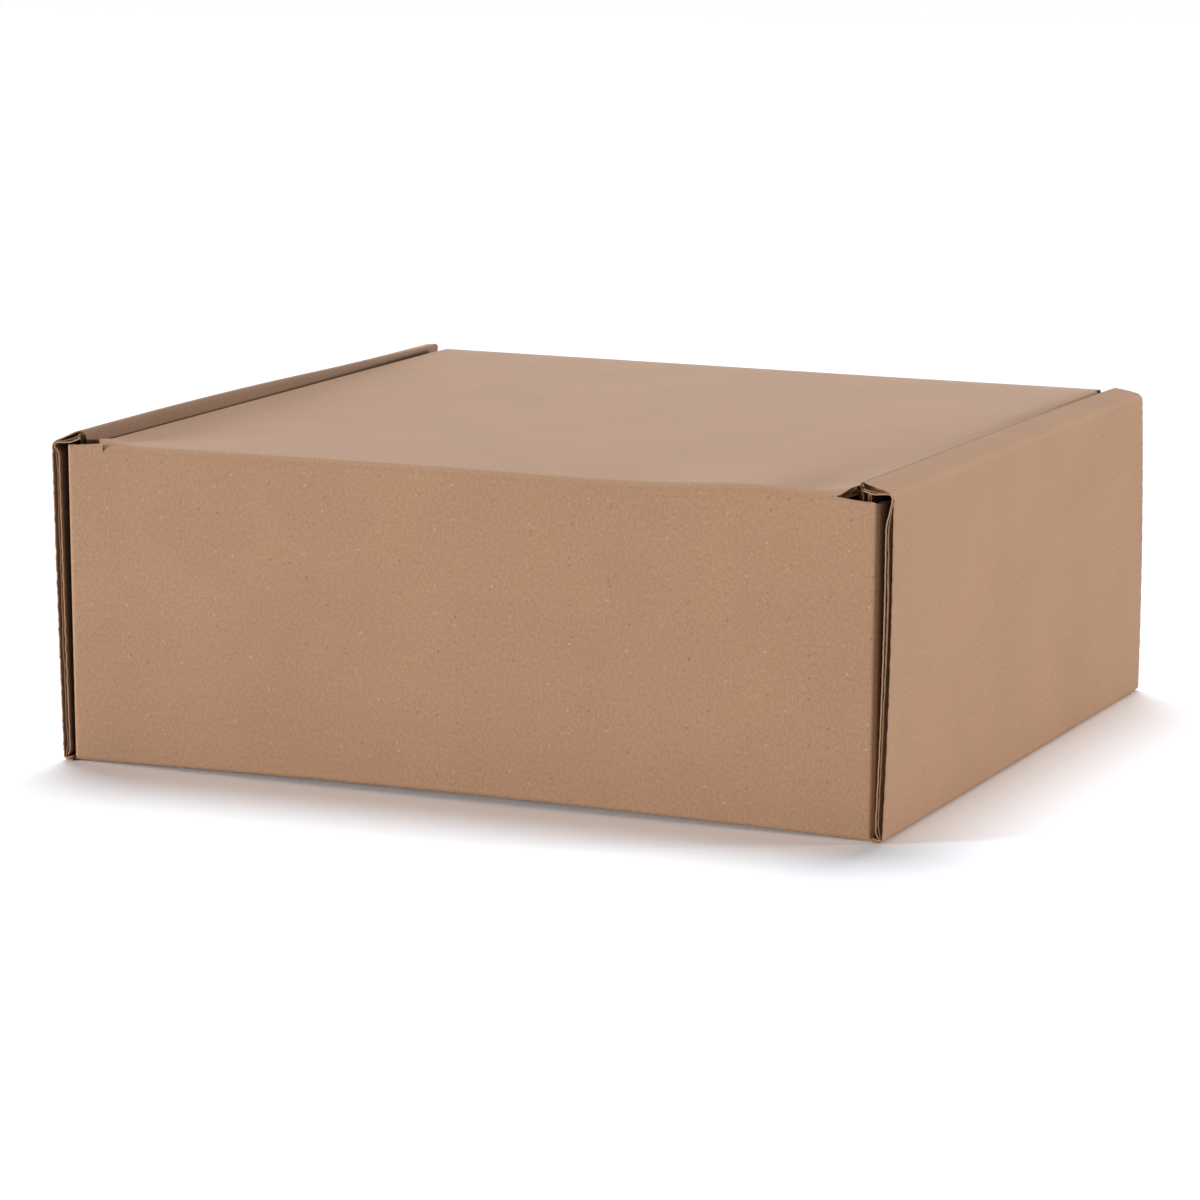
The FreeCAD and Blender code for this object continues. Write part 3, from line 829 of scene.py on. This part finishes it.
def paper_colour(tree, uv, marks, fibre, base, dark, pale, contrast):
    """The mottled colour times its four gains, the last of them painted shade."""
    clumped = node(tree, "ShaderNodeMapping", None, {"Vector": uv, "Scale": MOTTLE_STRETCH}).outputs[0]
    mottle = node(tree, "ShaderNodeTexNoise", FLAT_NOISE,
                  {"Vector": clumped, "Scale": 1 / (MOTTLE * MM), "Detail": 5.0, "Roughness": 0.78})
    cloud = node(tree, "ShaderNodeTexNoise", FLAT_NOISE,
                 {"Vector": uv, "Scale": 1 / (CLOUD * MM), "Detail": 2.0}).outputs["Fac"]
    level = node(tree, "ShaderNodeMapRange", None,
                 {"Value": mottle.outputs["Fac"], "From Min": 0.3, "From Max": 0.7})
    vivid = node(tree, "ShaderNodeMapRange", None,
                 {"Value": marks["calm"], "To Min": contrast, "To Max": CALM_CONTRAST * contrast})
    tone = node(tree, "ShaderNodeMix", {"data_type": "RGBA"},
                {"Factor": level.outputs[0], "A": linear(dark), "B": linear(pale)})
    calmed = node(tree, "ShaderNodeMix", {"data_type": "RGBA"},
                  {"Factor": vivid.outputs[0], "A": linear(base), "B": tone.outputs["Result"]})
    gain = node(tree, "ShaderNodeMapRange", None, {"Value": cloud, **CLOUD_GAIN}).outputs[0]
    for value, limits in ((fibre, FIBRE_GAIN), (marks["crease"], RUBBED_GAIN), (marks["painted_shade"], PAINTED_SHADE_GAIN)):
        other = node(tree, "ShaderNodeMapRange", None, {"Value": value, **limits}).outputs[0]
        gain = node(tree, "ShaderNodeMath", {"operation": "MULTIPLY"}, {0: gain, 1: other}).outputs[0]
    scaled = {0: calmed.outputs["Result"], "Scale": gain}
    return node(tree, "ShaderNodeVectorMath", {"operation": "SCALE"}, scaled).outputs[0]


# %% [markdown]
# Specks
#
# Unbleached pulp has stray pale and dark bits in it. A Voronoi pattern gives one place per cell, and the
# cell's own random colour chooses the few that get a speck. Scattered discs would do it too, but they would
# add thousands of faces for something as thin as paper.

# %% Specks
SPECK_GAP = 7.0         # mm between the places where a speck may lie
SPECK_EDGE = {"From Min": 0.03, "From Max": 0.08, "To Min": 0.45, "To Max": 0.0}
SPECKS = (("GREATER_THAN", 0.88, "dcc6ab"), ("LESS_THAN", 0.14, "6e4d33"))
CALM_SPECKS = 0.15      # calm paper keeps this share of the specks


def with_specks(tree, uv, marks, colour):
    """The colour with pale and dark specks mixed in, fainter where the paper is calm."""
    cells = node(tree, "ShaderNodeTexVoronoi", {"voronoi_dimensions": "2D"},
                 {"Vector": uv, "Scale": 1 / (SPECK_GAP * MM), "Randomness": 1.0})
    spot = node(tree, "ShaderNodeMapRange", None, {"Value": cells.outputs["Distance"], **SPECK_EDGE})
    chance = node(tree, "ShaderNodeSeparateColor", None, {"Color": cells.outputs["Color"]})
    shown = node(tree, "ShaderNodeMapRange", None,
                 {"Value": marks["calm"], "To Min": 1.0, "To Max": CALM_SPECKS})
    for test, limit, code in SPECKS:
        share = node(tree, "ShaderNodeMath", {"operation": test}, {0: chance.outputs[0], 1: limit})
        for other in (spot, shown):
            factors = {0: share.outputs[0], 1: other.outputs[0]}
            share = node(tree, "ShaderNodeMath", {"operation": "MULTIPLY"}, factors)
        mixed = {"Factor": share.outputs[0], "A": colour, "B": linear(code)}
        colour = node(tree, "ShaderNodeMix", {"data_type": "RGBA"}, mixed).outputs["Result"]
    return colour


# %% [markdown]
# The two papers
#
# Both are matt: high roughness, the index of refraction of paper's cellulose, and a little sheen for the
# fibres that stand up. The fibres also give a faint bump.

# %% Papers of the board
FIBRE = 0.6             # mm; fibres are 0.04 mm wide, drawn coarser so that they show
FIBRE_STRETCH = (1.0, 0.25, 1.0)        # they lie along the machine's run
PAPER_IOR = 1.5
PAPER_SHEEN = 0.13
SHEEN_ROUGHNESS = 0.4
FIBRE_BUMP = 0.08       # mm


def kraft(name, base, dark, pale, contrast, rough):
    """A kraft paper: a base colour, mottled between a darker and a paler one, with fibres and specks."""
    material = bpy.data.materials.new(name)
    material.use_nodes = True
    tree = material.node_tree
    uv = node(tree, "ShaderNodeUVMap", {"uv_map": "sheet"}).outputs[0]
    marks = {mark: node(tree, "ShaderNodeAttribute", {"attribute_name": mark}).outputs["Fac"]
             for mark in MARKS}
    drawn_out = node(tree, "ShaderNodeMapping", None, {"Vector": uv, "Scale": FIBRE_STRETCH}).outputs[0]
    fibre = node(tree, "ShaderNodeTexNoise", FLAT_NOISE,
                 {"Vector": drawn_out, "Scale": 1 / (FIBRE * MM), "Detail": 2.0}).outputs["Fac"]
    colour = paper_colour(tree, uv, marks, fibre, base, dark, pale, contrast)
    colour = with_specks(tree, uv, marks, colour)
    bump = node(tree, "ShaderNodeBump", None,
                {"Height": fibre, "Strength": 0.3, "Distance": FIBRE_BUMP * MM})
    shader = tree.nodes["Principled BSDF"]
    tree.links.new(colour, shader.inputs["Base Color"])
    tree.links.new(bump.outputs[0], shader.inputs["Normal"])
    shader.inputs["Roughness"].default_value = rough
    shader.inputs["IOR"].default_value = PAPER_IOR
    shader.inputs["Sheen Weight"].default_value = PAPER_SHEEN
    shader.inputs["Sheen Roughness"].default_value = SHEEN_ROUGHNESS
    print(name, len(tree.nodes), "nodes")
    return material


# Pressed liner looks warm and even. The fluting's recycled pulp looks greyer and more mottled.
papers = [kraft("kraft_liner_pressed", "bc9270", "a97f5e", "cca282", 0.65, 0.8),
          kraft("fluting_medium_pressed", "b08c6c", "9c7858", "bf9b7b", 1.0, 0.85)]

# %% [markdown]
# Make the pieces
#
# The flutes run up the side walls, and so across the long strip. A wave function says where the fluted paper
# swings, from the distance across the flutes and a slow wander along them, since no machine lays them dead
# straight. At the side walls' cut edges its phase is set so that the wave is caught part of the way up.

# %% Flutes and pieces


def strip_wave(seed):
    """The flutes of the long strip: a sine of the run, with a wander along the width."""
    def wave(across, run):
        return np.sin(2 * np.pi * (run + 0.5 * wander(across, 150, seed)) / FLUTE + 0.3)
    return wave


def wall_wave(seed):
    """The flutes of a side wall: a sine of the place along the wall, with a wander up it."""
    def wave(across, run):
        place = across * SIDE_HALF + 0.35 * wander(run, 120, seed)
        return np.sin(2 * np.pi * (place + SIDE_HALF) / FLUTE + np.arcsin(0.45))
    return wave


def side_piece(name, wall):
    """One side wall, from its table."""
    return make_piece(name, board_sheets(
        wall_surface(wall), (wall_across, wall_runs), (wall_flutes, wall_flute_runs), wall_keep,
        wall_wave(wall.seed + 5)), papers)


tray_piece = make_piece("base_and_long_walls", board_sheets(
    tray_surface, (tray_across, tray_runs), (tray_across, tray_flutes), tray_keep, strip_wave(16)), papers)
right_piece = side_piece("right_side_wall", right_wall)
left_piece = side_piece("left_side_wall", left_wall)
lid_piece = make_piece("lid_panel", board_sheets(
    lid_surface, (lid_across, lid_runs), (lid_across, lid_flutes), lid_keep, strip_wave(46)), papers)
fold_piece = make_piece("lid_fold", board_sheets(
    fold_surface, (fold_across, fold_runs), (fold_across, fold_runs), keep_all, strip_wave(56)), papers)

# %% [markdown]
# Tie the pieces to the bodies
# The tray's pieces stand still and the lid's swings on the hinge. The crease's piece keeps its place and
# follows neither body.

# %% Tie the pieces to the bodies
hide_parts("tray")
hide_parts("lid")
for piece in (tray_piece, right_piece, left_piece):
    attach(piece, "tray")
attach(lid_piece, "lid")
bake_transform(fold_piece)

# %% [markdown]
# Studio floor
#
# The box stands on matt white paper. A brighter lamp would make the paper white but would wash out the
# board. So the floor's colour for the camera is above one, which shows as white outside the shadow, and for
# the light that it throws back it is a plain pale grey.

# %% Floor
FLOOR_HALF = 12.0       # metres
FLOOR_DROP = 0.0001     # metres below the box
FLOOR_SEEN = (1.7, 1.8, 1.93, 1)
FLOOR_THROWN = (0.75, 0.75, 0.75, 1)
floor_mesh = bpy.data.meshes.new("studio_floor")
floor_signs = ((-1, -1), (1, -1), (1, 1), (-1, 1))
floor_corners = [(x * FLOOR_HALF, y * FLOOR_HALF, -FLOOR_DROP) for x, y in floor_signs]
floor_mesh.from_pydata(floor_corners, [], [(0, 1, 2, 3)])
floor = bpy.data.objects.new("studio_floor", floor_mesh)
bpy.context.collection.objects.link(floor)
floor_paper = bpy.data.materials.new("studio_paper_matt")
floor_paper.use_nodes = True
floor_tree = floor_paper.node_tree
floor_tree.nodes.remove(floor_tree.nodes["Principled BSDF"])
floor_path = node(floor_tree, "ShaderNodeLightPath")
floor_shade = node(floor_tree, "ShaderNodeMix", {"data_type": "RGBA"},
                   {"Factor": floor_path.outputs["Is Camera Ray"], "A": FLOOR_THROWN, "B": FLOOR_SEEN})
floor_matt = node(floor_tree, "ShaderNodeBsdfDiffuse", None, {"Color": floor_shade.outputs["Result"]})
floor_tree.links.new(floor_matt.outputs[0], floor_tree.nodes["Material Output"].inputs["Surface"])
floor_mesh.materials.append(floor_paper)
print("floor", 2 * FLOOR_HALF, "m wide")

# %% [markdown]
# Lamps and world
#
# The lid is the brightest face, and the short shadow falls to the front and right, so a wide soft lamp stands
# high behind. Two low ones from the left front and the right light the walls. Distant lamps light each wall
# evenly, as the front wall is in the photo. The right wall darkens a little towards the back there, which
# near lamps could give, but it is lit evenly too. The world adds little to the object, and is plain white
# where the camera sees it.

# %% Lamps and world


def sun(name, azimuth, elevation, strength, softness):
    """A distant lamp. The azimuth turns from the front towards the right, and the softness is its angle."""
    lamp = bpy.data.lights.new(name, "SUN")
    lamp.energy = strength
    lamp.angle = math.radians(softness)
    made = bpy.data.objects.new(name, lamp)
    bpy.context.collection.objects.link(made)
    turned, raised = math.radians(azimuth), math.radians(elevation)
    level = math.cos(raised)
    towards = np.array([math.sin(turned) * level, -math.cos(turned) * level, math.sin(raised)])
    side = np.array([math.cos(turned), math.sin(turned), 0.0])
    axes = np.stack([side, np.cross(towards, side), towards], 1)
    made.matrix_world = Matrix(axes.tolist()).to_4x4()
    print(name, "strength", strength, "from", azimuth, "degrees, raised", elevation)
    return made


sun("top_light", 206, 66, 1.68, 32)
sun("left_front_light", -54, 5, 3.22, 14)
sun("right_light", 118, 4, 2.4, 14)
WORLD_GLOW = 0.04
world = bpy.data.worlds.new("studio_world")
bpy.context.scene.world = world
world.use_nodes = True
world_tree = world.node_tree
world_path = node(world_tree, "ShaderNodeLightPath")
seen = world_path.outputs["Is Camera Ray"]
for ray in ("Is Transmission Ray", "Is Glossy Ray"):
    seen = node(world_tree, "ShaderNodeMath", {"operation": "MAXIMUM"}, {0: seen, 1: world_path.outputs[ray]})
    seen = seen.outputs[0]
glow = node(world_tree, "ShaderNodeMapRange", None, {"Value": seen, "To Min": WORLD_GLOW, "To Max": 1.0})
background = world_tree.nodes["Background"]
world_tree.links.new(glow.outputs[0], background.inputs["Strength"])
background.inputs["Color"].default_value = (1, 1, 1, 1)

# %% [markdown]
# Camera
#
# The camera was fitted to the box's corners in the photo. It stands to the right of the front wall and
# slightly above, about 1.4 m away. Its three axes are worked out from the two angles and a small roll, so
# nothing has to be aimed by hand.

# %% Camera
VIEW_AZIMUTH = math.radians(24.17)
VIEW_ELEVATION = math.radians(9.67)
VIEW_ROLL = math.radians(0.21)
FOCAL_PIXELS = 3881.3
FRAME_PIXELS = 1200
SENSOR = 36.0           # mm
DISTANCE = 1428.1       # mm
ASIDE = (-9.06, 45.57)  # mm, to the right and up
AIM = (0, -1.37, 0)     # mm, the point that the distance is taken from
out = math.cos(VIEW_ELEVATION)
back = np.array([math.sin(VIEW_AZIMUTH) * out, -math.cos(VIEW_AZIMUTH) * out, math.sin(VIEW_ELEVATION)])
level = np.array([math.cos(VIEW_AZIMUTH), math.sin(VIEW_AZIMUTH), 0.0])
upright = np.cross(back, level)
rolled_right = math.cos(VIEW_ROLL) * level + math.sin(VIEW_ROLL) * upright
rolled_up = -math.sin(VIEW_ROLL) * level + math.cos(VIEW_ROLL) * upright
axes = np.stack([rolled_right, rolled_up, back], 1)
camera_data = bpy.data.cameras.new("photo_camera")
camera_data.sensor_width = SENSOR
camera_data.sensor_fit = "HORIZONTAL"
camera_data.lens = FOCAL_PIXELS / FRAME_PIXELS * SENSOR
camera_data.clip_end = 100
camera = bpy.data.objects.new("photo_camera", camera_data)
bpy.context.collection.objects.link(camera)
camera_place = axes @ np.array([*ASIDE, DISTANCE]) + np.array(AIM)
camera.matrix_world = Matrix.Translation(camera_place * MM) @ Matrix(axes.tolist()).to_4x4()
bpy.context.scene.camera = camera
bpy.context.scene.view_settings.view_transform = "Standard"
print("camera at", [round(float(value), 1) for value in camera_place], "lens", round(camera_data.lens, 1))
